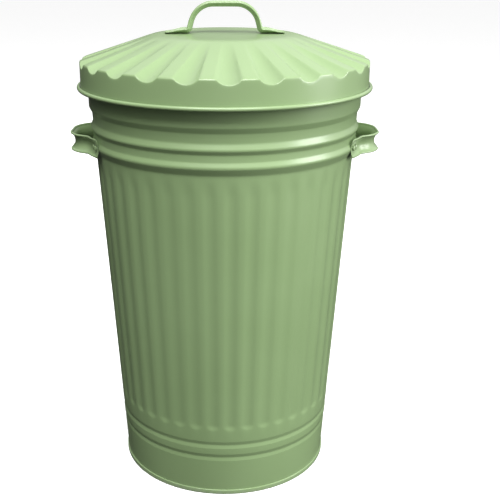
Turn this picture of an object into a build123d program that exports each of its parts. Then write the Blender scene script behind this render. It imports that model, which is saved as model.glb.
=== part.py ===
"""Round fluted steel dustbin, 45 litre, with a loose lift-off lid and three pressed handles.

Frame: millimetres, +Z up, origin on the axis at the surface the bin stands on. The front of the
bin faces -Y, the two side handles lie on +X and -X, and the wall's lock seam is at the back.
"""

import os
from math import asin, cos, degrees, hypot, sin

from build123d import *

# Sheet steel
SHEET = 0.6                 # wall, base and lid
STRAP_SHEET = 1.2           # the three handles
CLEAR = 0.3                 # gap kept between the lid and the bin
FIT = 0.1                   # gap kept between pieces that are folded, rolled or riveted together

# Wall: a plain taper that carries every swage and flute
FOOT_RADIUS = 143.8         # outside radius of the taper at z = 0
TAPER = 0.063               # growth of the radius per millimetre of height
COLLAR_RADIUS = 179.1       # outside radius just above the collar's ledge
COLLAR_Z = 508.0
LEDGE_HALF = 2.0            # half the height of the ledge under the collar
RIM_FLARE = 0.8             # growth of the radius from the collar up to the rim
GROOVES_Z = (58.4, 77.8)    # two shallow swaged grooves near the foot
GROOVE_DEPTH = 1.2
GROOVE_HALF = 4.6           # from the middle of a groove to its edge
BAND_PROUD = 0.3            # how far the band between the grooves stands out
BEADS = ((463.5, 177.2), (484.9, 177.7))   # height and radius of each upper bead before it is rounded
BEAD_HALF = 10.0            # from the middle of a bead to its edge
BEAD_VALLEY_RADIUS = 173.3
SWAGE_ROUND = 2.5           # roundings of the wall's line
BAND_ROUND = 1.6
BEAD_ROUND = 4.5
BEAD_EDGE_ROUND = 5.0
VALLEY_ROUND = 4.0
LEDGE_ROUND = 2.0

# Flutes: long hollows pressed into the wall, one pitch at the back given up to the lock seam
PITCHES = 41
FLUTE_PHASE = 2.7           # degrees from the front to the middle of the nearest flute
FLUTE_WIDTH = 16.0
FLUTE_DEPTH = 2.0
FLUTE_LOW_Z = 101.0
FLUTE_HIGH_Z = 446.0
SEAM_WIDTH = 9.0
SEAM_PROUD = 1.2

# Rolled edges
RIM_WIRE = 3.0              # wire diameters
LID_WIRE = 4.0
LID_EDGE_Z = 532.5          # lowest point of the lid
ROLL_GAP = 0.7              # opening left in a roll, as a share of its outside radius
RIM_GAP_ANGLE = 210         # where each roll is open, counted from outwards towards up
LID_GAP_ANGLE = 140

# Lid
LID_TOP_Z = 600.7           # flat centre of the lid
LID_FLAT_RADIUS = 92.0      # where the ridges leave the flat centre
LID_SLOPE = 0.33            # fall of the ridges per millimetre of radius
LID_CROWN = 60.0            # rounding where they leave it
LID_CORNER = 4.5            # rounding of the shoulder over the skirt
SKIRT_RADIUS = 188.7
LID_HOLLOWS = 24
LID_HOLLOW_PHASE = 1.5      # degrees from the front to the middle of the nearest hollow
HOLLOW_START = 84.0         # radius where the hollows leave the flat centre
HOLLOW_SLOPE = 0.3725
HOLLOW_START_ROUND = 6.0    # radius of the hollow's round section where it starts
HOLLOW_END_ROUND = 19.8     # and at the skirt
HOLLOW_OVERRUN = 8.0        # how far the hollow's cutter runs past both

# Base
FLOOR_Z = 14.0              # top of the floor
BASE_SEAM_Z = 6.4           # top of the folded seam round the foot
FLOOR_ROUND = 2.0
BASE_SEAM_ROUND = 0.5

# Handles: one pressed strap, used three times
STRAP_WIDTH = 24.0
FOOT_WIDTH = 26.0
STRAP_DEPTH = 6.3           # how far the lips stand out from the middle of the strap
FOOT_DEPTH = 3.2            # the same at the tip of a foot
STRAP_REACH = 76.5          # from the middle of the strap to the tip of a foot, along the seat
BOW_START = 52.5            # where a foot ends and the bend begins
BOW_BEND = 43.5
BOW_CORNER = 36.0
BEND_RADIUS = 10.0
CORNER_RADIUS = 20.0
LID_BOW_RISE = 33.5
SIDE_BOW_RADIUS = 198.5     # from the bin's axis to the inside of the bow
SIDE_HANDLE_Z = BEADS[0][0]

# Rivets
RIVET_STEPS = (58.5, 69.0)  # along the strap from its middle
RIVET_SHANK = 4.0
RIVET_HEAD = 7.0
RIVET_HEAD_HEIGHT = 1.3
RIVET_HEAD_EDGE = 0.5       # height of a head's rim, and how far its top is drawn in
RIVET_HEAD_TAPER = 0.8
DRILL = 8.0                 # length of the cutters of the rivet holes
CHANNEL_SAG = 0.45          # rise of the channel of the strap under the rim of a rivet head
BEAD_SAG = 1.4              # fall of the bead's inside under the rim of a rivet head


def taper(z):
    """Outside radius of the plain taper at height z."""
    return FOOT_RADIUS + TAPER * z


def hollow_z(radius):
    """Height of the bottom of a lid hollow, on the outside of the sheet."""
    return LID_TOP_Z - HOLLOW_SLOPE * (radius - HOLLOW_START)


# Rolled rims: outside radius of each roll and the place of its middle
rim_roll = RIM_WIRE / 2 + FIT + SHEET
lid_roll = LID_WIRE / 2 + FIT + SHEET
rim_radius = COLLAR_RADIUS + RIM_FLARE - SHEET + rim_roll
rim_z = hollow_z(rim_radius) - (SHEET + CLEAR + rim_roll) * hypot(1, HOLLOW_SLOPE)
lid_rim_radius = SKIRT_RADIUS - SHEET + lid_roll
lid_rim_z = LID_EDGE_Z + lid_roll


def turned(line, skirt=0.0):
    """Solid of revolution inside a sheet's line, with its foot lengthened by skirt."""
    edge, crown = sorted((line @ 0, line @ 1), key=lambda end: end.Y)
    foot = edge - Vector(0, skirt)
    with BuildPart(mode=Mode.PRIVATE) as solid:
        with BuildSketch(Plane.XZ):
            with BuildLine():
                add(line)
                if skirt:
                    Line(foot, edge)
                if crown.X > FIT:
                    Line(crown, (0, crown.Y))
                Polyline((0, crown.Y), (0, foot.Y), foot)
            make_face()
        revolve(axis=Axis.Z)
    return solid.part


def inside_of(line):
    """The inner surface line of a sheet whose outer line is given."""
    return offset(line, amount=SHEET, side=Side.LEFT, closed=False, mode=Mode.PRIVATE)


def roll_section(radius, z, outer, gap_angle):
    """Section of a sheet edge rolled round a wire, left open at gap_angle."""
    with BuildSketch(Plane.XZ, mode=Mode.PRIVATE) as roll:
        with Locations((radius, z)):
            Circle(outer)
            Circle(outer - SHEET, mode=Mode.SUBTRACT)
            with Locations(Rotation(0, 0, gap_angle)):
                Rectangle(2 * outer, ROLL_GAP * outer, align=(Align.MIN, Align.CENTER),
                          mode=Mode.SUBTRACT)
    return roll.sketch


def wire_ring(radius, z, diameter):
    """A closed ring of round wire."""
    with BuildPart(mode=Mode.PRIVATE) as ring:
        with BuildSketch(Plane.XZ):
            with Locations((radius, z)):
                Circle(diameter / 2)
        revolve(axis=Axis.Z)
    return ring.part


def finish(piece, name):
    """Label a piece and write its STEP file."""
    piece.label = name
    export_step(piece, f"parts/{name}.step")


# Wall line ---------------------------------------------------------------------------------------

with BuildLine() as wall_outside:
    groove_low, groove_high = GROOVES_Z
    (bead_low_z, bead_low_r), (bead_high_z, bead_high_r) = BEADS
    FilletPolyline(
        (taper(SHEET + FIT), SHEET + FIT),
        (taper(groove_low - GROOVE_HALF), groove_low - GROOVE_HALF),
        (taper(groove_low) - GROOVE_DEPTH, groove_low),
        (taper(groove_low + GROOVE_HALF) + BAND_PROUD, groove_low + GROOVE_HALF),
        (taper(groove_high - GROOVE_HALF) + BAND_PROUD, groove_high - GROOVE_HALF),
        (taper(groove_high) - GROOVE_DEPTH, groove_high),
        (taper(groove_high + GROOVE_HALF), groove_high + GROOVE_HALF),
        (taper(bead_low_z - BEAD_HALF), bead_low_z - BEAD_HALF),
        (bead_low_r, bead_low_z),
        (BEAD_VALLEY_RADIUS, (bead_low_z + bead_high_z) / 2),
        (bead_high_r, bead_high_z),
        (taper(bead_high_z + BEAD_HALF), bead_high_z + BEAD_HALF),
        (taper(COLLAR_Z - LEDGE_HALF), COLLAR_Z - LEDGE_HALF),
        (COLLAR_RADIUS, COLLAR_Z + LEDGE_HALF),
        (rim_radius - rim_roll + SHEET, rim_z),
        radius=[SWAGE_ROUND, SWAGE_ROUND, BAND_ROUND, BAND_ROUND, SWAGE_ROUND, SWAGE_ROUND,
                BEAD_EDGE_ROUND, BEAD_ROUND, VALLEY_ROUND, BEAD_ROUND, BEAD_EDGE_ROUND,
                LEDGE_ROUND, LEDGE_ROUND])

bead_crest = wall_outside.edges().sort_by_distance(BEADS[0][::-1])[0].bounding_box().max.X


# Handles -----------------------------------------------------------------------------------------

class Seat:
    """Where a handle sits: flat when radius is 0, or round an upright cylinder.

    crown is the local height of the bow, and sag how far the sheet falls away under a rivet head.
    """

    def __init__(self, frame, radius, crown, sag):
        self.frame = frame
        self.radius = radius
        self.crown = crown
        self.sag = sag

    def point(self, along, out=0.0):
        """Local point at a distance along the seat and a height out from it."""
        if not self.radius:
            return Vector(along, out)
        angle = along / self.radius
        return Vector(sin(angle), cos(angle)) * (self.radius + out)

    def heading(self, along):
        """Local direction of the seat at a distance along it."""
        angle = along / self.radius if self.radius else 0
        return Vector(cos(angle), -sin(angle))

    def section(self, along, out=0.0):
        """Plane across the strap: x along the strap's width, y out from the seat."""
        origin = self.frame.from_local_coords(self.point(along, out))
        ahead = self.frame.from_local_coords(self.point(along, out) + self.heading(along))
        return Plane(origin=origin, x_dir=-self.frame.z_dir, z_dir=ahead - origin)

    def face(self, along):
        """Plane lying on the seat, with z out from it."""
        across = self.section(along)
        return Plane(origin=across.origin, x_dir=across.x_dir, z_dir=across.y_dir)


lid_seat = Seat(Plane(origin=(0, 0, LID_TOP_Z), x_dir=(1, 0, 0), z_dir=(0, -1, 0)), 0,
                LID_BOW_RISE, sag=0)
right_seat = Seat(Plane(origin=(0, 0, SIDE_HANDLE_Z), x_dir=(0, 1, 0), z_dir=(0, 0, -1)),
                  bead_crest, SIDE_BOW_RADIUS, sag=BEAD_SAG)
left_seat = Seat(Plane(origin=(0, 0, SIDE_HANDLE_Z), x_dir=(0, -1, 0), z_dir=(0, 0, -1)),
                 bead_crest, SIDE_BOW_RADIUS, sag=BEAD_SAG)


def channel(width, depth):
    """Face of the strap's section: a shallow channel that opens away from the seat."""
    bend = (width ** 2 / 4 + depth ** 2) / (2 * depth)
    half = degrees(asin(width / 2 / bend))
    with BuildSketch(mode=Mode.PRIVATE) as section:
        with BuildLine():
            outer = CenterArc((0, bend), bend, -90 - half, 2 * half)
            inner = CenterArc((0, bend), bend - STRAP_SHEET, -90 - half, 2 * half)
            Line(outer @ 0, inner @ 0)
            Line(outer @ 1, inner @ 1)
        make_face()
    return section.sketch


def strap(seat):
    """One handle: a bow swept along its bends, and two feet that flatten towards their tips."""
    start = seat.point(-BOW_START, FIT)
    bend = start + seat.heading(-BOW_START) * (BOW_START - BOW_BEND)
    corner = Vector(-BOW_CORNER, seat.crown)
    left_half = [start, bend, corner]
    right_half = [Vector(-point.X, point.Y) for point in reversed(left_half)]
    with BuildPart(mode=Mode.PRIVATE) as handle:
        with BuildLine(mode=Mode.PRIVATE) as bow:
            FilletPolyline(*left_half, *right_half,
                           radius=[BEND_RADIUS, CORNER_RADIUS, CORNER_RADIUS, BEND_RADIUS])
        with BuildSketch(seat.section(-BOW_START, FIT)):
            add(channel(STRAP_WIDTH, STRAP_DEPTH))
        sweep(path=seat.frame * bow.wire())
        for side in (-1, 1):
            for share in (0, 0.5, 1):
                along = BOW_START + share * (STRAP_REACH - BOW_START)
                with BuildSketch(seat.section(side * along, FIT)):
                    add(channel(STRAP_WIDTH + share * (FOOT_WIDTH - STRAP_WIDTH),
                                STRAP_DEPTH + share * (FOOT_DEPTH - STRAP_DEPTH)))
            loft()
        with Locations(*rivet_places(seat)):
            Cylinder(RIVET_SHANK / 2, DRILL, mode=Mode.SUBTRACT)
    return handle.part


def rivet_places(seat):
    """Planes of a handle's four rivets, on the seat with z outwards."""
    return [seat.face(side * step) for side in (-1, 1) for step in RIVET_STEPS]


def rivets(seat):
    """The four rivets of one handle, as separate solids."""
    under = -SHEET - FIT - seat.sag
    over = FIT + STRAP_SHEET + CHANNEL_SAG
    head = RIVET_HEAD / 2
    shank = (RIVET_SHANK - FIT) / 2
    with BuildPart(mode=Mode.PRIVATE) as rivet:
        with BuildSketch(Plane.XZ):
            with BuildLine():
                Polyline((0, under - RIVET_HEAD_HEIGHT),
                         (head - RIVET_HEAD_TAPER, under - RIVET_HEAD_HEIGHT),
                         (head, under - RIVET_HEAD_EDGE), (head, under), (shank, under),
                         (shank, over), (head, over), (head, over + RIVET_HEAD_EDGE),
                         (head - RIVET_HEAD_TAPER, over + RIVET_HEAD_HEIGHT),
                         (0, over + RIVET_HEAD_HEIGHT), close=True)
            make_face()
        revolve(axis=Axis.Z)
    with BuildPart(mode=Mode.PRIVATE) as group:
        with Locations(*rivet_places(seat)):
            add(rivet.part)
    return group.part


# Bin ---------------------------------------------------------------------------------------------

flute_pitch = 360 / PITCHES
flutes_to_seam = PITCHES // 2


def fluted(solid, deeper):
    """Cut the ring of flutes out of a solid, each wider by deeper all round."""
    bend = (FLUTE_WIDTH ** 2 / 4 + FLUTE_DEPTH ** 2) / (2 * FLUTE_DEPTH)
    lean = hypot(1, TAPER)
    reach = bend - FLUTE_DEPTH
    low_z = FLUTE_LOW_Z + FLUTE_WIDTH / 2
    high_z = FLUTE_HIGH_Z - FLUTE_WIDTH / 2
    low = Vector(taper(low_z) + reach / lean, 0, low_z - reach * TAPER / lean)
    high = Vector(taper(high_z) + reach / lean, 0, high_z - reach * TAPER / lean)
    with BuildPart(mode=Mode.PRIVATE) as tool:
        with Locations(Plane(origin=low, z_dir=high - low)):
            Cylinder(bend + deeper, (high - low).length, align=(Align.CENTER, Align.CENTER, Align.MIN))
            Sphere(bend + deeper)
        with Locations(high):
            Sphere(bend + deeper)
    first_angle = FLUTE_PHASE - 90 - flutes_to_seam * flute_pitch
    with BuildPart(mode=Mode.PRIVATE) as ring:
        add(solid)
        with PolarLocations(0, PITCHES - 1, start_angle=first_angle,
                            angular_range=360 - flute_pitch):
            add(tool.part, mode=Mode.SUBTRACT)
    return ring.part


seam_low = BASE_SEAM_Z + FIT
seam_high = COLLAR_Z - 2 * LEDGE_HALF
seam_angle = FLUTE_PHASE - 90 + flutes_to_seam * flute_pitch
with BuildPart(mode=Mode.PRIVATE) as lock_seam:
    with BuildSketch(Plane.XZ):
        with BuildLine():
            Polyline((taper(seam_low) - SHEET / 2, seam_low), (taper(seam_low) + SEAM_PROUD, seam_low),
                     (taper(seam_high) + SEAM_PROUD, seam_high),
                     (taper(seam_high) - SHEET / 2, seam_high), close=True)
        make_face()
    extrude(amount=SEAM_WIDTH / 2, both=True)

rivet_holes = [place for seat in (right_seat, left_seat) for place in rivet_places(seat)]
with BuildPart() as body_wall:
    add(fluted(turned(wall_outside.wire()), 0))
    add(lock_seam.part.rotate(Axis.Z, seam_angle))
    add(fluted(turned(inside_of(wall_outside.wire()), skirt=SHEET), SHEET), mode=Mode.SUBTRACT)
    with BuildSketch(Plane.XZ):
        add(roll_section(rim_radius, rim_z, rim_roll, RIM_GAP_ANGLE))
    revolve(axis=Axis.Z)
    with Locations(*rivet_holes):
        Cylinder(RIVET_SHANK / 2, DRILL, mode=Mode.SUBTRACT)

with BuildPart() as base_pan:
    with BuildSketch(Plane.XZ):
        with BuildLine():
            leg = SHEET + FIT + SHEET
            FilletPolyline((0, FLOOR_Z - SHEET), (taper(FLOOR_Z) - leg, FLOOR_Z - SHEET),
                           (taper(0) - leg, 0), (taper(0) + FIT + SHEET, 0),
                           (taper(BASE_SEAM_Z) + FIT + SHEET, BASE_SEAM_Z),
                           radius=[FLOOR_ROUND, 0, BASE_SEAM_ROUND])
            offset(amount=SHEET, side=Side.LEFT)
        make_face()
    revolve(axis=Axis.Z)

# Lid ---------------------------------------------------------------------------------------------

with BuildLine() as lid_outside:
    FilletPolyline((SKIRT_RADIUS, lid_rim_z),
                   (SKIRT_RADIUS, LID_TOP_Z - LID_SLOPE * (SKIRT_RADIUS - LID_FLAT_RADIUS)),
                   (LID_FLAT_RADIUS, LID_TOP_Z), (0, LID_TOP_Z), radius=[LID_CORNER, LID_CROWN])


def hollowed(solid, deeper):
    """A lid solid with the ring of hollows cut away, each wider by deeper all round."""
    spread = (HOLLOW_END_ROUND - HOLLOW_START_ROUND) / (SKIRT_RADIUS - HOLLOW_START)
    with BuildPart(mode=Mode.PRIVATE) as tool:
        for radius in (HOLLOW_START - HOLLOW_OVERRUN, SKIRT_RADIUS + HOLLOW_OVERRUN):
            bend = HOLLOW_START_ROUND + spread * (radius - HOLLOW_START)
            with BuildSketch(Plane.YZ.offset(radius)):
                with Locations((0, hollow_z(radius) + bend)):
                    Circle(bend + deeper)
        loft()
    with BuildPart(mode=Mode.PRIVATE) as hollow:
        add(solid)
        with PolarLocations(0, LID_HOLLOWS, start_angle=LID_HOLLOW_PHASE - 90):
            add(tool.part, mode=Mode.SUBTRACT)
    return hollow.part


with BuildPart() as lid_pan:
    add(hollowed(turned(lid_outside.wire()), 0))
    add(hollowed(turned(inside_of(lid_outside.wire()), skirt=SHEET), SHEET), mode=Mode.SUBTRACT)
    with BuildSketch(Plane.XZ):
        add(roll_section(lid_rim_radius, lid_rim_z, lid_roll, LID_GAP_ANGLE))
    revolve(axis=Axis.Z)
    with Locations(*rivet_places(lid_seat)):
        Cylinder(RIVET_SHANK / 2, DRILL, mode=Mode.SUBTRACT)

# Pieces ------------------------------------------------------------------------------------------

os.makedirs("parts", exist_ok=True)
finish(body_wall.part, "body_wall")
finish(base_pan.part, "base_pan")
finish(lid_pan.part, "lid_pan")
finish(wire_ring(rim_radius, rim_z, RIM_WIRE), "rim_wire")
finish(wire_ring(lid_rim_radius, lid_rim_z, LID_WIRE), "lid_rim_wire")
for name, seat in (("left", left_seat), ("right", right_seat), ("lid", lid_seat)):
    finish(strap(seat), f"{name}_handle")
    finish(rivets(seat), f"{name}_handle_rivets")
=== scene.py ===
from math import asin, atan2, cos, hypot, pi, radians, sin, sqrt, tan

import bmesh
import bpy
from mathutils import Matrix, Vector


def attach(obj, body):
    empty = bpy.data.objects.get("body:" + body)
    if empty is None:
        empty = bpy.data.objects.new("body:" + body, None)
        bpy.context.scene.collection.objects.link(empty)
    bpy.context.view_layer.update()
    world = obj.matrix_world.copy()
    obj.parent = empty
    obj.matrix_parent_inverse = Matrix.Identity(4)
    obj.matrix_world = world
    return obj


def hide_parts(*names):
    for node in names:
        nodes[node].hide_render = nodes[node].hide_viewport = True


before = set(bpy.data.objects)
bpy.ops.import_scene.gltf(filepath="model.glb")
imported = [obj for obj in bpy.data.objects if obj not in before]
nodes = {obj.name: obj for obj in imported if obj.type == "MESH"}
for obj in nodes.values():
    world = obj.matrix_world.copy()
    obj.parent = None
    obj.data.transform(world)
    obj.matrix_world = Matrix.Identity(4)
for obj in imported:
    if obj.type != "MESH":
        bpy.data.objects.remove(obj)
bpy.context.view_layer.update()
mm = 0.001

# Camera ------------------------------------------------------------------------------------------
# A short telephoto lens a step back from the bin and a little above its lid, looking down at the
# front. The frame leaves room on the right of the bin.

CAMERA_DISTANCE = 1.195
CAMERA_HEIGHT = 0.7164
CAMERA_DIP = 19.1           # degrees below the horizontal
CAMERA_LENS = 64.66
CAMERA_SIDESTEP = 0.0506    # shift of the frame towards the right, as a share of its width

bpy.ops.object.select_all(action="DESELECT")
bpy.ops.object.camera_add(location=(0, -CAMERA_DISTANCE, CAMERA_HEIGHT),
                          rotation=(radians(90 - CAMERA_DIP), 0, 0))
camera = bpy.context.object
camera.name = "camera"
camera.data.lens = CAMERA_LENS
camera.data.shift_x = CAMERA_SIDESTEP
bpy.context.scene.camera = camera
bpy.context.scene.view_settings.view_transform = "Standard"

# Floor and studio light --------------------------------------------------------------------------
# A pale seamless floor that glows a little, one big softbox above the front, a weak one low down,
# a tall one on the right and one behind, in a room that is bright overhead and dark low down on the
# left. The floor takes shadows but throws no light back, and the room is white to the camera.

FLOOR_SIZE = 60.0
FLOOR_GREY = (0.93, 0.93, 0.93, 1)
FLOOR_GLOW = 0.25
ROOM_DARK = 0.03
ROOM_BRIGHT = 0.85
ROOM_BRIGHT_SIDE = (0.33, 0.0, 0.94)
SOFTBOXES = (  # name, place, aimed at, width, height, watts
    ("front_softbox", (-0.1, -1.6, 2.95), (0, 0, 0.25), 2.4, 1.2, 117),
    ("low_softbox", (0.0, -1.9, 0.3), (0, 0, 0.1), 1.4, 0.5, 2),
    ("right_softbox", (2.4, -0.6, 1.1), (0, 0, 0.2), 1.2, 1.6, 52),
    ("back_softbox", (-0.6, 2.4, 1.2), (0, 0, 0.3), 1.8, 1.4, 30),
)


def finish_material(name, build):
    """A new material whose nodes are laid by build(tree, shader)."""
    material = bpy.data.materials.new(name)
    material.use_nodes = True
    build(material.node_tree, material.node_tree.nodes["Principled BSDF"])
    return material


def noise(tree, scale, detail=2.0):
    """A noise texture on the piece's own coordinates."""
    place = tree.nodes.new("ShaderNodeTexCoord")
    texture = tree.nodes.new("ShaderNodeTexNoise")
    texture.inputs["Scale"].default_value = scale
    texture.inputs["Detail"].default_value = detail
    tree.links.new(place.outputs["Object"], texture.inputs["Vector"])
    return texture.outputs["Fac"]


def between(tree, amount, low, high):
    """A number that moves from low to high with a pattern."""
    span = tree.nodes.new("ShaderNodeMapRange")
    span.interpolation_type = "SMOOTHSTEP"
    span.inputs["From Min"].default_value = 0.2
    span.inputs["From Max"].default_value = 0.8
    span.inputs["To Min"].default_value = low
    span.inputs["To Max"].default_value = high
    tree.links.new(amount, span.inputs["Value"])
    return span.outputs["Result"]


def blended(tree, amount, low, high):
    """A colour that moves from low to high with a pattern."""
    mix = tree.nodes.new("ShaderNodeMix")
    mix.data_type = "RGBA"
    tree.links.new(between(tree, amount, 0, 1), mix.inputs["Factor"])
    for side, colour in (("A", low), ("B", high)):
        socket = next(s for s in mix.inputs if s.name == side and s.type == "RGBA")
        if isinstance(colour, tuple):
            socket.default_value = colour
        else:
            tree.links.new(colour, socket)
    return next(s for s in mix.outputs if s.type == "RGBA")


def bumped(tree, amount, depth, below=None):
    """A surface normal raised by a pattern, on top of another normal."""
    bump = tree.nodes.new("ShaderNodeBump")
    bump.inputs["Distance"].default_value = depth
    bump.inputs["Strength"].default_value = 1.0
    tree.links.new(amount, bump.inputs["Height"])
    if below:
        tree.links.new(below, bump.inputs["Normal"])
    return bump.outputs["Normal"]


def paper(tree, shader):
    """Matt pale paper with a faint mottle."""
    shader.inputs["Roughness"].default_value = 0.9
    shader.inputs["Specular IOR Level"].default_value = 0.1
    shader.inputs["Emission Color"].default_value = (1, 1, 1, 1)
    shader.inputs["Emission Strength"].default_value = FLOOR_GLOW
    darker = tuple(0.985 * part for part in FLOOR_GREY[:3]) + (1,)
    tree.links.new(blended(tree, noise(tree, 9), darker, FLOOR_GREY), shader.inputs["Base Color"])


bpy.ops.mesh.primitive_plane_add(size=FLOOR_SIZE)
floor = bpy.context.object
floor.name = "floor"
floor.data.materials.append(finish_material("seamless_paper", paper))
floor.visible_diffuse = False
floor.visible_glossy = False

for name, place, target, width, height, watts in SOFTBOXES:
    aim = Vector(target) - Vector(place)
    bpy.ops.object.light_add(type="AREA", location=place,
                             rotation=aim.to_track_quat("-Z", "Y").to_euler())
    softbox = bpy.context.object
    softbox.name = name
    softbox.data.shape = "RECTANGLE"
    softbox.data.size = width
    softbox.data.size_y = height
    softbox.data.energy = watts
    softbox.visible_camera = False
bpy.data.objects["low_softbox"].visible_glossy = False
bpy.data.objects["back_softbox"].visible_glossy = False

room = bpy.data.worlds.new("room")
room.use_nodes = True
sky = room.node_tree.nodes["Background"]
sky.inputs["Color"].default_value = (1, 1, 1, 1)
look = room.node_tree.nodes.new("ShaderNodeTexCoord")
facing = room.node_tree.nodes.new("ShaderNodeVectorMath")
facing.operation = "DOT_PRODUCT"
facing.inputs[1].default_value = ROOM_BRIGHT_SIDE
glow = room.node_tree.nodes.new("ShaderNodeMapRange")
glow.interpolation_type = "SMOOTHSTEP"
glow.inputs["From Min"].default_value = 0
glow.inputs["From Max"].default_value = 0.5
glow.inputs["To Min"].default_value = ROOM_DARK
glow.inputs["To Max"].default_value = ROOM_BRIGHT
room.node_tree.links.new(look.outputs["Generated"], facing.inputs[0])
room.node_tree.links.new(facing.outputs["Value"], glow.inputs["Value"])
seen = room.node_tree.nodes.new("ShaderNodeLightPath")
brighter = room.node_tree.nodes.new("ShaderNodeMath")
brighter.operation = "MAXIMUM"
room.node_tree.links.new(glow.outputs["Result"], brighter.inputs[0])
room.node_tree.links.new(seen.outputs["Is Camera Ray"], brighter.inputs[1])
room.node_tree.links.new(brighter.outputs["Value"], sky.inputs["Strength"])
bpy.context.scene.world = room

# Bin wall ----------------------------------------------------------------------------------------
# Thin steel sheet rolled into a taper and closed at the back by a folded lock seam. Two grooves are
# swaged round its foot and two beads below its collar, with long hollow flutes pressed in between.
# Its top edge is rolled outwards round a wire, and it is powder coated all over.

SHEET = 0.6 * mm
FOOT_RADIUS = 143.8 * mm
TAPER = 0.063
GROOVES = (58.4 * mm, 77.8 * mm)    # heights of the two lower grooves
GROOVE_HALF = 5.2 * mm
GROOVE_DEPTH = 1.0 * mm
GROOVE_ROUND = 6 * mm
BAND_PROUD = 0.2 * mm       # how far the band between the grooves stands out
BEADS_FROM = 453.0 * mm     # heights between which the wall leaves its taper for the beads
BEADS_TO = 492.0 * mm
LOWER_BEAD = (177.4 * mm, 463.0 * mm)   # radius and height
UPPER_BEAD = (178.0 * mm, 484.6 * mm)
VALLEY_LOW = (174.6 * mm, 469.5 * mm)   # foot and head of the valley between them
VALLEY_HIGH = (174.8 * mm, 478.5 * mm)
LEDGE = 504.0 * mm          # where the wall steps out to its collar
COLLAR = (179.1 * mm, 511.0 * mm)
LEDGE_ROUND = 6 * mm
RIM_ROLL = (181.5 * mm, 561.07 * mm)
RIM_WIRE_GAP = 1.6 * mm     # inner radius of the roll round the rim wire
ROLL_TURN = radians(285)
PITCHES = 41                # forty flutes and the lock seam
PITCH = 2 * pi / PITCHES
COLUMNS = 10                # columns of mesh to a pitch
FLUTE_ANGLE = radians(2.7 - 90)
FLUTE_WIDTH = 16 * mm
FLUTE_DEPTH = 1.3 * mm
FLUTE_LOW = 101 * mm
FLUTE_FADE = (452 * mm, 424 * mm)   # heights between which a flute deepens from nothing
FLUTE_SOFTNESS = 0.5 * mm   # how softly the sheet turns over the edge of a flute
FLUTE_END_ROW = 1.8 * mm    # spacing of the rings of mesh at the foot of the flutes
FLUTE_FADE_ROW = 3 * mm     # where they fade out
LONG_ROW = 28 * mm          # and along them
SEAM_HALF = 3.6 * mm
SEAM_PROUD = 1.2 * mm
SEAM_TOP = 504 * mm
GREEN_LOW = (0.244, 0.353, 0.166, 1)
GREEN_HIGH = (0.264, 0.379, 0.182, 1)
SCUFFED_GREEN = (0.33, 0.40, 0.27, 1)
SCUFF_HEIGHT = 14 * mm      # the coat is scuffed up to here
SHADE_GRAIN = (7, 3)        # scale and detail of the pattern behind each effect of the coat
SCUFF_GRAIN = (160, 5)
GLOSS_GRAIN = (24, 1)
DENT_GRAIN = (13, 2)
PEEL_GRAIN = (430, 3)
COAT_ROUGHNESS = (0.32, 0.42)
DENT_DEPTH = 0.3 * mm
PEEL_DEPTH = 0.012 * mm


def powder_coat(tree, shader):
    """Sage green powder coat: fine orange peel over slightly uneven sheet, scuffed at the foot."""
    place = tree.nodes.new("ShaderNodeTexCoord")
    split = tree.nodes.new("ShaderNodeSeparateXYZ")
    tree.links.new(place.outputs["Object"], split.inputs["Vector"])
    near_floor = tree.nodes.new("ShaderNodeMapRange")
    near_floor.inputs["From Min"].default_value = SCUFF_HEIGHT
    near_floor.inputs["From Max"].default_value = 0
    tree.links.new(split.outputs["Z"], near_floor.inputs["Value"])
    scuffs = tree.nodes.new("ShaderNodeMath")
    scuffs.operation = "MULTIPLY"
    tree.links.new(near_floor.outputs["Result"], scuffs.inputs[0])
    tree.links.new(noise(tree, *SCUFF_GRAIN), scuffs.inputs[1])
    coat = blended(tree, noise(tree, *SHADE_GRAIN), GREEN_LOW, GREEN_HIGH)
    tree.links.new(blended(tree, scuffs.outputs["Value"], coat, SCUFFED_GREEN),
                   shader.inputs["Base Color"])
    tree.links.new(between(tree, noise(tree, *GLOSS_GRAIN), *COAT_ROUGHNESS),
                   shader.inputs["Roughness"])
    uneven = bumped(tree, noise(tree, *DENT_GRAIN), DENT_DEPTH)
    tree.links.new(bumped(tree, noise(tree, *PEEL_GRAIN), PEEL_DEPTH, uneven),
                   shader.inputs["Normal"])
    shader.inputs["Coat Weight"].default_value = 0.5
    shader.inputs["Coat Roughness"].default_value = 0.25


def taper(height):
    """Outside radius of the plain wall at a height."""
    return FOOT_RADIUS + TAPER * height


def arc(middle, start, turn, steps):
    """Points along an arc that begins at start and turns by an angle round its middle."""
    return [middle + Matrix.Rotation(turn * k / steps, 2) @ (start - middle)
            for k in range(steps + 1)]


def bends(corners):
    """Middle, start, turn and steps of the arc at each inner corner of a route.

    A corner is its two coordinates, its rounding and its number of steps.
    """
    for before, corner, after in zip(corners, corners[1:], corners[2:]):
        here = Vector(corner[:2])
        back = (Vector(before[:2]) - here).normalized()
        ahead = (Vector(after[:2]) - here).normalized()
        turn = pi - back.angle(ahead)
        middle = here + (back + ahead).normalized() * corner[2] / cos(turn / 2)
        side = 1 if back.cross(ahead) < 0 else -1
        yield middle, here + back * corner[2] * tan(turn / 2), side * turn, corner[3]


def rounded(corners):
    """Points of an outline whose corners are turned by arcs."""
    turns = [point for bend in bends(corners) for point in arc(*bend)]
    return [Vector(corners[0][:2])] + turns + [Vector(corners[-1][:2])]


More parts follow.
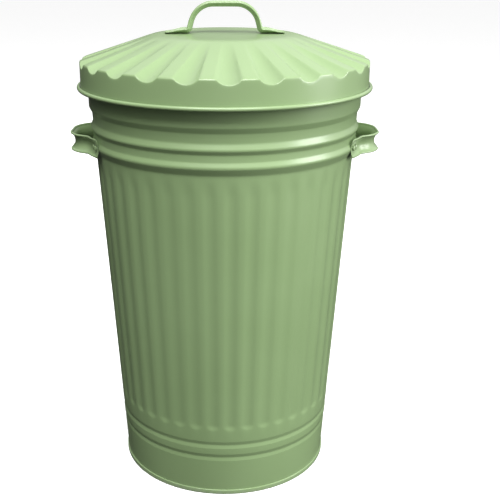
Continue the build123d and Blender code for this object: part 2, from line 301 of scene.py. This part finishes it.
def turned_sheet(name, outline, columns, first_angle):
    """Raise a sheet of revolution ring by ring from its lowest circle."""
    bpy.ops.object.select_all(action="DESELECT")
    radius, height = outline[0]
    bpy.ops.mesh.primitive_circle_add(vertices=columns, radius=radius, location=(0, 0, height),
                                      rotation=(0, 0, first_angle - pi / 2))
    piece = bpy.context.object
    piece.name = piece.data.name = name
    bpy.ops.object.transform_apply()
    bpy.ops.object.mode_set(mode="EDIT")
    for (radius, height), (wider, higher) in zip(outline, outline[1:]):
        bpy.ops.mesh.extrude_region_move(
            TRANSFORM_OT_translate={"value": (0, 0, higher - height)})
        bpy.ops.transform.resize(value=(wider / radius, wider / radius, 1),
                                 center_override=(0, 0, 0))
    bpy.ops.mesh.select_all(action="SELECT")
    bpy.ops.mesh.flip_normals()
    bpy.ops.object.mode_set(mode="OBJECT")
    return piece


def pressed(piece, name, depth, direction, share):
    """Press a sheet by depth times share(place), as a displacement that is then applied."""
    group = piece.vertex_groups.new(name=name)
    for vertex in piece.data.vertices:
        amount = share(vertex.co)
        if amount > 0:
            group.add([vertex.index], amount, "REPLACE")
    press = piece.modifiers.new(name, "DISPLACE")
    press.direction = direction
    press.mid_level = 0
    press.strength = depth
    press.vertex_group = name
    bpy.ops.object.modifier_apply(modifier=name)


def soft_edge(depth, softness):
    """Depth of a pressing whose edge turns softly into the sheet around it."""
    return max(0, (depth + sqrt(depth ** 2 + softness ** 2)) / 2 - softness / 8)


def thicken(piece):
    """Give a sheet its thickness inwards and shade it smooth."""
    sheet = piece.modifiers.new("sheet", "SOLIDIFY")
    sheet.thickness = SHEET
    sheet.offset = -1
    bpy.ops.object.modifier_apply(modifier="sheet")
    bpy.ops.object.shade_smooth_by_angle(angle=radians(35))


def eased(amount):
    """A share between 0 and 1 that starts and stops gently."""
    share = min(1, max(0, amount))
    return share ** 2 * (3 - 2 * share)


def flute_share(place):
    """How deep a point of the wall lies in its flute, from 0 to 1."""
    turn = (atan2(place.y, place.x) - FLUTE_ANGLE + pi) % (2 * pi) - pi
    number = round(turn / PITCH)
    across = (turn - number * PITCH) * hypot(place.x, place.y)
    past = max(0, FLUTE_LOW + FLUTE_WIDTH / 2 - place.z)
    bend = (FLUTE_WIDTH ** 2 / 4 + FLUTE_DEPTH ** 2) / (2 * FLUTE_DEPTH)
    spread = hypot(across, past)
    if number == PITCHES // 2 or spread > bend:
        return 0
    depth = sqrt(bend ** 2 - spread ** 2) - bend + FLUTE_DEPTH
    nothing, full = FLUTE_FADE
    fade = eased((place.z - nothing) / (full - nothing))
    return soft_edge(depth, FLUTE_SOFTNESS) * fade / FLUTE_DEPTH


def seam_share(place):
    """1 on the lock seam at the back of the wall, 0 elsewhere."""
    turn = (atan2(place.y, place.x) - FLUTE_ANGLE - PITCHES // 2 * PITCH + pi) % (2 * pi) - pi
    return float(abs(turn) * FOOT_RADIUS < SEAM_HALF and place.z < SEAM_TOP)


roll_middle = Vector(RIM_ROLL)
roll_start = roll_middle - Vector((RIM_WIRE_GAP, 0))
groove_low, groove_high = GROOVES
wall_outline = rounded((
    (taper(0.7 * mm), 0.7 * mm),
    (taper(groove_low - GROOVE_HALF), groove_low - GROOVE_HALF, GROOVE_ROUND, 4),
    (taper(groove_low) - GROOVE_DEPTH, groove_low, GROOVE_ROUND, 5),
    (taper(groove_low + GROOVE_HALF) + BAND_PROUD, groove_low + GROOVE_HALF, GROOVE_ROUND, 4),
    (taper(groove_high - GROOVE_HALF) + BAND_PROUD, groove_high - GROOVE_HALF, GROOVE_ROUND, 4),
    (taper(groove_high) - GROOVE_DEPTH, groove_high, GROOVE_ROUND, 5),
    (taper(groove_high + GROOVE_HALF), groove_high + GROOVE_HALF, GROOVE_ROUND, 4),
    (taper(BEADS_FROM), BEADS_FROM, 9 * mm, 4),
    (*LOWER_BEAD, 6 * mm, 7),
    (*VALLEY_LOW, 6 * mm, 4),
    (*VALLEY_HIGH, 6 * mm, 4),
    (*UPPER_BEAD, 5 * mm, 7),
    (taper(BEADS_TO), BEADS_TO, 7 * mm, 4),
    (taper(LEDGE), LEDGE, LEDGE_ROUND, 3),
    (*COLLAR, LEDGE_ROUND, 3),
    tuple(roll_start)))
flute_end_rows = [FLUTE_LOW + FLUTE_END_ROW * k for k in range(-1, 7)]
flute_end_rows += [FLUTE_FADE[1] + FLUTE_FADE_ROW * k for k in range(9)]
long_rows = [FLUTE_LOW + LONG_ROW * k for k in range(1, 12)]
wall_outline += [Vector((taper(height), height)) for height in flute_end_rows + long_rows]
wall_outline.sort(key=lambda point: point.y)
wall_outline += arc(roll_middle, roll_start, -ROLL_TURN, 12)[1:]

wall = turned_sheet("bin_wall", wall_outline, PITCHES * COLUMNS, FLUTE_ANGLE)
pressed(wall, "flutes", -FLUTE_DEPTH, "NORMAL", flute_share)
pressed(wall, "lock_seam", SEAM_PROUD, "NORMAL", seam_share)
thicken(wall)
green = finish_material("green_powder_coat", powder_coat)
wall.data.materials.append(green)
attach(wall, "bin")
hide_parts("body_wall")

# Floor of the bin --------------------------------------------------------------------------------
# A shallow dished pan of the same sheet, pushed up inside the foot. Its edge is folded round the
# foot of the wall, and the fold is what the bin stands on.

FOLD_RADIUS = 145.6 * mm
FOLD_HEIGHT = 6.6 * mm
LEG_RADIUS = 142.2 * mm
PAN_HEIGHT = 13.4 * mm      # underside of the floor
PAN_COLUMNS = 180


def choose(piece, test):
    """Select the points of the piece in edit mode that pass a test, and what joins them."""
    mesh = bmesh.from_edit_mesh(piece.data)
    for point in mesh.verts:
        point.select = test(point.co)
    mesh.select_flush_mode()
    bmesh.update_edit_mesh(piece.data)


def close_middle(piece):
    """Draw the innermost ring of a turned sheet together on the axis."""
    bpy.ops.object.mode_set(mode="EDIT")
    choose(piece, lambda place: hypot(place.x, place.y) < 2 * mm)
    bpy.ops.mesh.merge(type="CENTER")
    bpy.ops.object.mode_set(mode="OBJECT")


pan_outline = rounded((
    (taper(FOLD_HEIGHT) + 0.3 * mm, FOLD_HEIGHT),
    (FOLD_RADIUS, FOLD_HEIGHT, 0.7 * mm, 4),
    (FOLD_RADIUS, 0, 0.9 * mm, 4),
    (LEG_RADIUS, 0, 0.9 * mm, 4),
    (LEG_RADIUS + 0.7 * mm, PAN_HEIGHT, 2.0 * mm, 5),
    (1 * mm, PAN_HEIGHT)))
pan = turned_sheet("folded_base", pan_outline, PAN_COLUMNS, 0)
close_middle(pan)
bpy.ops.object.mode_set(mode="EDIT")
bpy.ops.mesh.select_all(action="SELECT")
bpy.ops.mesh.flip_normals()
bpy.ops.object.mode_set(mode="OBJECT")
thicken(pan)
pan.data.materials.append(green)
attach(pan, "bin")
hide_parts("base_pan")

# Rim wires ---------------------------------------------------------------------------------------
# Two rings of drawn steel wire, left bare because the rolled edges of the bin and of the lid hide
# all but a line of them.

STEEL_DARK = (0.42, 0.42, 0.41, 1)
STEEL_LIGHT = (0.62, 0.62, 0.60, 1)
STREAK_GRAIN = (90, 6)
SHEEN_GRAIN = (400, 3)
DIE_MARK_GRAIN = (900, 2)
WIRE_ROUGHNESS = (0.32, 0.5)
DIE_MARK_DEPTH = 0.02 * mm


def drawn_wire(tree, shader):
    """Plain drawn wire: a dull grey metal with fine streaks."""
    shader.inputs["Metallic"].default_value = 1.0
    tree.links.new(blended(tree, noise(tree, *STREAK_GRAIN), STEEL_DARK, STEEL_LIGHT),
                   shader.inputs["Base Color"])
    tree.links.new(between(tree, noise(tree, *SHEEN_GRAIN), *WIRE_ROUGHNESS),
                   shader.inputs["Roughness"])
    tree.links.new(bumped(tree, noise(tree, *DIE_MARK_GRAIN), DIE_MARK_DEPTH),
                   shader.inputs["Normal"])


steel = finish_material("drawn_steel_wire", drawn_wire)
for name in ("rim_wire", "lid_rim_wire"):
    nodes[name].data.materials[0] = steel

# Lid ---------------------------------------------------------------------------------------------
# One disc of sheet pressed into a low cone with a flat centre and an upright skirt. Round-bottomed
# hollows run down the cone and break over its shoulder, and the skirt's edge is rolled outwards
# round a stout wire.

LID_TOP = 600.7 * mm
LID_FLAT = 92.0 * mm        # radius where the ridges leave the flat centre
LID_SLOPE = 0.33
SHOULDER = 188.7 * mm       # radius of the skirt
SHOULDER_ROUND = 3.2 * mm
LID_ROLL = (190.8 * mm, 535.2 * mm)
LID_WIRE_GAP = 2.1 * mm
HOLLOWS = 24
HOLLOW_PITCH = 2 * pi / HOLLOWS
HOLLOW_COLUMNS = 24         # columns of mesh to a hollow
HOLLOW_ANGLE = radians(1.5 - 90)
HOLLOW_START = 84 * mm
HOLLOW_SLOPE = 0.3725
HOLLOW_ROUND = 6.0 * mm     # radius of a hollow's round section where it starts
HOLLOW_SPREAD = 0.132       # growth of that radius outwards
HOLLOW_DEEPEST = 8.0 * mm
HOLLOW_SOFTNESS = 0.3 * mm
HOLLOW_FADE = (86 * mm, 165 * mm)    # radii between which a hollow deepens from nothing
HOLLOW_END = (545 * mm, 563 * mm)   # heights between which a hollow dies out on the skirt
SKIRT_ROWS = (540, 545, 549, 553, 557, 560.5, 563)   # rings of mesh on the skirt, mm high
CONE_ROWS = range(107, 184, 7)      # and on the cone and the flat, mm from the axis
FLAT_ROWS = (10, 30, 50, 70)


def ridge_height(radius):
    """Height of the lid along its ridges."""
    return LID_TOP - LID_SLOPE * max(0, radius - LID_FLAT)


def hollow_share(place):
    """How deep a point of the lid lies in its hollow, as a share of the deepest."""
    radius = hypot(place.x, place.y)
    turn = atan2(place.y, place.x) - HOLLOW_ANGLE
    across = (turn - round(turn / HOLLOW_PITCH) * HOLLOW_PITCH) * radius
    bend = HOLLOW_ROUND + HOLLOW_SPREAD * (radius - HOLLOW_START)
    if radius < HOLLOW_START or abs(across) >= bend:
        return 0
    bottom = LID_TOP - HOLLOW_SLOPE * (radius - HOLLOW_START)
    level = max(place.z, ridge_height(radius) - 0.8 * mm)
    depth = level - bottom - bend + sqrt(bend ** 2 - across ** 2)
    low, high = HOLLOW_END
    nothing, full = HOLLOW_FADE
    fade = eased((place.z - low) / (high - low)) * eased((radius - nothing) / (full - nothing))
    return soft_edge(depth, HOLLOW_SOFTNESS) * fade / HOLLOW_DEEPEST


roll_middle = Vector(LID_ROLL)
roll_start = roll_middle - Vector((LID_WIRE_GAP, 0))
lid_outline = rounded((
    tuple(roll_start),
    (SHOULDER, ridge_height(SHOULDER), SHOULDER_ROUND, 6),
    (LID_FLAT, LID_TOP, 60 * mm, 7),
    (1 * mm, LID_TOP)))
lid_outline += [Vector((SHOULDER, height * mm)) for height in SKIRT_ROWS]
lid_outline += [Vector((radius * mm, ridge_height(radius * mm))) for radius in CONE_ROWS]
lid_outline += [Vector((radius * mm, LID_TOP)) for radius in FLAT_ROWS]
lid_outline.sort(key=lambda point: point.y - point.x)
lid_outline = arc(roll_middle, roll_start, ROLL_TURN, 16)[:0:-1] + lid_outline

lid = turned_sheet("lid_sheet", lid_outline, HOLLOWS * HOLLOW_COLUMNS, HOLLOW_ANGLE)
pressed(lid, "hollows", -HOLLOW_DEEPEST, "Z", hollow_share)
close_middle(lid)
thicken(lid)
lid.data.materials.append(green)
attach(lid, "lid")
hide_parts("lid_pan")

# Handles -----------------------------------------------------------------------------------------
# Three straps from one press tool, of thicker sheet: a shallow channel whose lips are rolled into
# thin beads and turned away from the bin, bent up into a bow, with a foot at each end riveted
# down. The feet of the side handles are curved to lie on the lower bead of the wall.

STRAP_SHEET = 1.2 * mm
STRAP_HALF = 12.0 * mm
STRAP_DEPTH = 6.3 * mm
STRAP_REACH = 77.5 * mm
BOW_START = 53.5 * mm
BOW_BEND = 43.5 * mm
SLIVER = 0.6 * mm           # half width of the first slice of the channel
LIP_STEPS = ((0.5 * mm, 2.3), (1.8 * mm, 1.0), (0.6 * mm, 0.5))   # run and swelling of the bead
TIP_DEPTH = 0.38            # depth and width of a foot at its tip, as shares of the bow's
TIP_WIDTH = 1.0
TIP_ROUND = 4.5 * mm        # length over which the corners of a foot are rounded
CORNER_CUT = 0.6            # how much of that is taken off the half width at the tip
FOOT_STATIONS = (0, 0.2, 0.4, 0.6, 0.72, 0.82, 0.9, 0.96, 0.99, 1)   # slices, from bow to tip
LID_SEAT = LID_TOP + 0.1 * mm
LID_BOW = LID_TOP + 33.5 * mm
SIDE_SEAT = 176.8 * mm      # radius of the bead that the side handles lie on
SIDE_BOW = 198.5 * mm
SIDE_HEIGHT = 463.5 * mm


def swell(piece, share):
    """Scale the chosen points evenly about their middle."""
    chosen = [point.co for point in bmesh.from_edit_mesh(piece.data).verts if point.select]
    middle = sum(chosen, Vector()) / len(chosen)
    bpy.ops.transform.resize(value=(share, share, share), center_override=middle)


def channel_slice(name, seat):
    """The strap's section above a seat, standing across the strap at its middle."""
    bpy.ops.object.select_all(action="DESELECT")
    bpy.ops.mesh.primitive_plane_add(size=1, location=(0, seat + STRAP_SHEET / 2, 0),
                                     rotation=(0, pi / 2, 0))
    piece = bpy.context.object
    piece.name = piece.data.name = name
    bpy.ops.object.transform_apply()
    bpy.ops.object.mode_set(mode="EDIT")
    bpy.ops.transform.resize(value=(1, STRAP_SHEET, 2 * SLIVER),
                             center_override=(0, seat + STRAP_SHEET / 2, 0))
    bend = (STRAP_HALF ** 2 + STRAP_DEPTH ** 2) / (2 * STRAP_DEPTH)
    sweep = asin(STRAP_HALF / bend) - (SLIVER + sum(run for run, share in LIP_STEPS)) / bend
    for side in (1, -1):
        choose(piece, lambda place: 0 < place.z * side < 2 * SLIVER)
        bpy.ops.mesh.spin(steps=6, angle=side * sweep, center=(0, seat + bend, 0), axis=(1, 0, 0))
        lip = Vector((0, sin(sweep), side * cos(sweep)))
        for run, share in LIP_STEPS:
            bpy.ops.mesh.extrude_region_move(TRANSFORM_OT_translate={"value": lip * run})
            swell(piece, share)
    bpy.ops.mesh.select_all(action="SELECT")
    return piece


def reshape(at, angle, deeper, wider):
    """Scale the chosen section in depth and width, about a place on the seat."""
    bpy.ops.transform.resize(value=(1, deeper, wider), orient_type="GLOBAL",
                             orient_matrix=Matrix.Rotation(angle, 3, "Z"),
                             orient_matrix_type="GLOBAL", center_override=at)


def foot_size(station):
    """Depth and width of a foot at a station, as shares of the bow's."""
    flat = eased(station)
    past = max(0, TIP_ROUND - (1 - station) * (STRAP_REACH - BOW_START))
    corner = 1 - (TIP_ROUND - sqrt(TIP_ROUND ** 2 - past ** 2)) * CORNER_CUT / STRAP_HALF
    return TIP_DEPTH ** flat, TIP_WIDTH ** flat * corner


def foot(seat, side, curved):
    """Draw a foot along its seat: in from its tip at side -1, or out to its tip at side 1."""
    stations = FOOT_STATIONS[::side]
    for near, far in zip(stations, stations[1:]):
        step = (far - near) * side * (STRAP_REACH - BOW_START)
        along = side * (BOW_START + far * (STRAP_REACH - BOW_START))
        if curved:
            bpy.ops.mesh.spin(steps=1, angle=step / seat, center=(0, 0, 0), axis=(0, 0, 1))
            at = Vector((seat * sin(along / seat), seat * cos(along / seat), 0))
        else:
            bpy.ops.mesh.extrude_region_move(TRANSFORM_OT_translate={"value": (step, 0, 0)})
            at = Vector((along, seat, 0))
        (old_depth, old_width), (depth, width) = foot_size(near), foot_size(far)
        reshape(at, -along / seat if curved else 0, depth / old_depth, width / old_width)


def strap(name, seat, crown, curved, bend_round, corner, corner_round):
    """One handle lying on its seat: foot, bow and foot, with its path in the XY plane."""
    piece = channel_slice(name, seat)
    if curved:
        lean = BOW_START / seat
        bpy.ops.transform.rotate(value=-STRAP_REACH / seat, orient_axis="Z",
                                 center_override=(0, 0, 0))
        tip = Vector((-seat * sin(STRAP_REACH / seat), seat * cos(STRAP_REACH / seat), 0))
        start = Vector((-seat * sin(lean), seat * cos(lean)))
    else:
        lean = 0
        bpy.ops.transform.translate(value=(-STRAP_REACH, 0, 0))
        tip = Vector((-STRAP_REACH, seat, 0))
        start = Vector((-BOW_START, seat))
    reshape(tip, STRAP_REACH / seat if curved else 0, *foot_size(1))
    foot(seat, -1, curved)
    bend = start + Vector((cos(lean), sin(lean))) * (BOW_START - BOW_BEND)
    route = [tuple(start), (*bend, bend_round, 10), (-corner, crown, corner_round, 16)]
    route += [(-point[0], *point[1:]) for point in reversed(route)]
    here = start
    for middle, begin, turn, steps in bends(route):
        run = (begin - here).to_3d()
        bpy.ops.mesh.extrude_region_move(TRANSFORM_OT_translate={"value": run})
        bpy.ops.mesh.spin(steps=steps, angle=-turn, center=middle.to_3d(), axis=(0, 0, 1))
        here = arc(middle, begin, turn, 1)[-1]
    run = (Vector(route[-1][:2]) - here).to_3d()
    bpy.ops.mesh.extrude_region_move(TRANSFORM_OT_translate={"value": run})
    foot(seat, 1, curved)
    bpy.ops.mesh.select_all(action="SELECT")
    bpy.ops.mesh.remove_doubles(threshold=0.01 * mm)
    bpy.ops.mesh.normals_make_consistent(inside=False)
    bpy.ops.object.mode_set(mode="OBJECT")
    smooth = piece.modifiers.new("smooth", "SUBSURF")
    smooth.levels = smooth.render_levels = 1
    bpy.ops.object.modifier_apply(modifier="smooth")
    bpy.ops.object.shade_smooth_by_angle(angle=radians(50))
    return piece


LID_STRAP = (LID_SEAT, LID_BOW, False, 8 * mm, 35 * mm, 26 * mm)
SIDE_STRAP = (SIDE_SEAT, SIDE_BOW, True, 22 * mm, 30 * mm, 31 * mm)
HANDLES = (  # name, CAD node, body, shape, turned by, lifted to
    ("lid_strap", "lid_handle", "lid", LID_STRAP, (pi / 2, 0, 0), 0),
    ("right_strap", "right_handle", "bin", SIDE_STRAP, (pi, 0, pi / 2), SIDE_HEIGHT),
    ("left_strap", "left_handle", "bin", SIDE_STRAP, (pi, 0, -pi / 2), SIDE_HEIGHT),
)
for name, node, body, shape, turned_by, height in HANDLES:
    handle = strap(name, *shape)
    handle.rotation_euler = turned_by
    handle.location.z = height
    bpy.ops.object.transform_apply()
    handle.data.materials.append(green)
    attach(handle, body)
    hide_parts(node)

# Rivets ------------------------------------------------------------------------------------------
# Two low-headed rivets through each foot of each handle, set before the bin and the lid were
# coated, so the coat covers them too.

for name in ("lid_handle_rivets", "left_handle_rivets", "right_handle_rivets"):
    nodes[name].data.materials[0] = green
